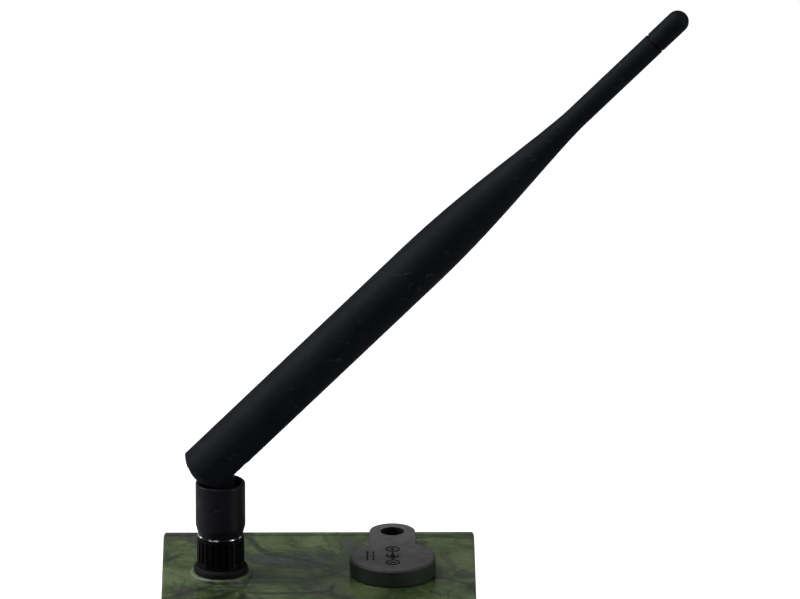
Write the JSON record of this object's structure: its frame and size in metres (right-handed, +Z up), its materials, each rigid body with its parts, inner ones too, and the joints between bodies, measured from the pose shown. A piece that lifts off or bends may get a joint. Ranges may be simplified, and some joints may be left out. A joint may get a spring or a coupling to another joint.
{
  "type": "trail camera",
  "caption": "Camouflaged trail camera box with hinged front, folding tapered antenna, rubber port plug, infrared lamp window and strap bracket.",
  "frame": {"origin": "mouth of the tripod socket at the centre of the box's bottom face", "axes": "+Z up, the lens looks along -Y, +X towards the side with the hinge"},
  "size_m": [0.1548, 0.0906, 0.2896],
  "materials": {
    "camo_shell": "olive moulding with a satin printed camouflage film",
    "black_rubber": "satin black rubberised moulding",
    "black_plastic": "fine satin black moulding",
    "dark_plastic": "satin charcoal moulding",
    "grey_rubber": "matt dark grey rubber",
    "panel_plastic": "fine-grained grey moulding",
    "steel": "bright drawn steel",
    "nickel": "nickel plated",
    "brass": "bright turned brass",
    "circuit_board": "green solder mask",
    "cell_wrap": "plain printed cell sleeve",
    "clear_glass": "polished, coated",
    "dark_window": "dark infrared-pass acrylic",
    "fresnel": "milky polyethylene",
    "led_epoxy": "tinted clear epoxy",
    "red_lens": "translucent red",
    "screen": "glossy display",
    "card_blue": "smooth card moulding",
    "card_pale": "smooth card with gold contacts",
    "key_red": "matt silicone key",
    "red_lead": "insulated lead"
  },
  "bodies": {
    "case": {"rear_case": "camo_shell", "back_plate": "camo_shell", "back_plate_screws": "steel", "tree_bracket": "dark_plastic", "bracket_screws": "steel", "tripod_bush": "brass", "case_gasket": "black_rubber", "hinge_pins": "steel", "latch_pin": "steel", "battery_tray": "dark_plastic", "battery_cells": "cell_wrap", "battery_contacts": "nickel", "modem_board": "circuit_board", "modem_module": "nickel", "sim_holder": "nickel", "contact_pads": "brass", "antenna_port": "brass", "port_nut": "brass", "port_seal": "grey_rubber", "antenna_lead": "black_rubber", "power_lead": "red_lead", "dc_jack": "black_plastic"},
    "cover": {"front_cover": "camo_shell", "inner_panel": "panel_plastic", "panel_screws": "steel", "lens_bezel": "black_plastic", "lens_window": "clear_glass", "lens_barrel": "black_plastic", "lens_glass": "clear_glass", "image_sensor": "circuit_board", "ir_window": "dark_window", "ir_board": "circuit_board", "ir_leds": "led_epoxy", "pir_lens": "fresnel", "side_pir_lenses": "fresnel", "pir_sensors": "nickel", "indicator_lens": "red_lens", "light_sensor": "fresnel", "main_board": "circuit_board", "lcd_module": "screen", "sd_holder": "nickel", "usb_port": "nickel", "contact_pins": "brass"},
    "latch": {"latch_clip": "dark_plastic"},
    "plug": {"port_plug": "grey_rubber"},
    "sim": {"sim_card": "card_pale"},
    "sd": {"sd_card": "card_blue"},
    "coupling_nut": {"antenna_nut": "black_plastic"},
    "swivel_base": {"antenna_ferrule": "nickel", "antenna_collar": "black_plastic"},
    "blade": {"antenna_pivot_pin": "black_plastic", "antenna_blade": "black_rubber", "antenna_tip": "black_rubber", "antenna_radiator": "brass"},
    "key_up": {"key_up": "dark_plastic"},
    "key_down": {"key_down": "dark_plastic"},
    "key_left": {"key_left": "dark_plastic"},
    "key_right": {"key_right": "dark_plastic"},
    "key_ok": {"key_ok": "key_red"},
    "mode_switch": {"mode_switch": "dark_plastic"}
  },
  "joints": [
    {"name": "cover_hinge", "type": "hinge", "parent": "case", "child": "cover", "pos_m": [0.044, -0.0133, 0.0675], "axis": [0, 0, 1], "range_deg": [0, 120]},
    {"name": "latch_swing", "type": "hinge", "parent": "case", "child": "latch", "pos_m": [-0.0444, 0.004, 0.0675], "axis": [0, 0, -1], "range_deg": [-25, 65]},
    {"name": "plug_lift", "type": "slide", "parent": "case", "child": "plug", "axis": [0, 0, 1], "range_m": [0, 0.014]},
    {"name": "sim_eject", "type": "slide", "parent": "case", "child": "sim", "axis": [0, -1, 0], "range_m": [0, 0.004]},
    {"name": "coupling_nut_spin", "type": "hinge", "parent": "case", "child": "coupling_nut", "pos_m": [-0.0256, 0.0058, 0.142], "axis": [0, 0, 1], "continuous": true},
    {"name": "antenna_swivel", "type": "hinge", "parent": "case", "child": "swivel_base", "pos_m": [-0.0256, 0.0058, 0.15], "axis": [0, 0, 1], "continuous": true},
    {"name": "antenna_fold", "type": "hinge", "parent": "swivel_base", "child": "blade", "pos_m": [-0.0256, 0.0058, 0.1685], "axis": [0, 1, 0], "range_deg": [-45, 45]},
    {"name": "sd_eject", "type": "slide", "parent": "cover", "child": "sd", "axis": [0, 0, -1], "range_m": [0, 0.004]},
    {"name": "mode_switch_slide", "type": "slide", "parent": "cover", "child": "mode_switch", "axis": [1, 0, 0], "range_m": [-0.004, 0.004]},
    {"name": "key_up_press", "type": "slide", "parent": "cover", "child": "key_up", "axis": [0, -1, 0], "range_m": [0, 0.0008], "stiffness_N_per_m": 400, "springref_m": -0.0005},
    {"name": "key_down_press", "type": "slide", "parent": "cover", "child": "key_down", "axis": [0, -1, 0], "range_m": [0, 0.0008], "stiffness_N_per_m": 400, "springref_m": -0.0005},
    {"name": "key_left_press", "type": "slide", "parent": "cover", "child": "key_left", "axis": [0, -1, 0], "range_m": [0, 0.0008], "stiffness_N_per_m": 400, "springref_m": -0.0005},
    {"name": "key_right_press", "type": "slide", "parent": "cover", "child": "key_right", "axis": [0, -1, 0], "range_m": [0, 0.0008], "stiffness_N_per_m": 400, "springref_m": -0.0005},
    {"name": "key_ok_press", "type": "slide", "parent": "cover", "child": "key_ok", "axis": [0, -1, 0], "range_m": [0, 0.0008], "stiffness_N_per_m": 400, "springref_m": -0.0005}
  ]
}
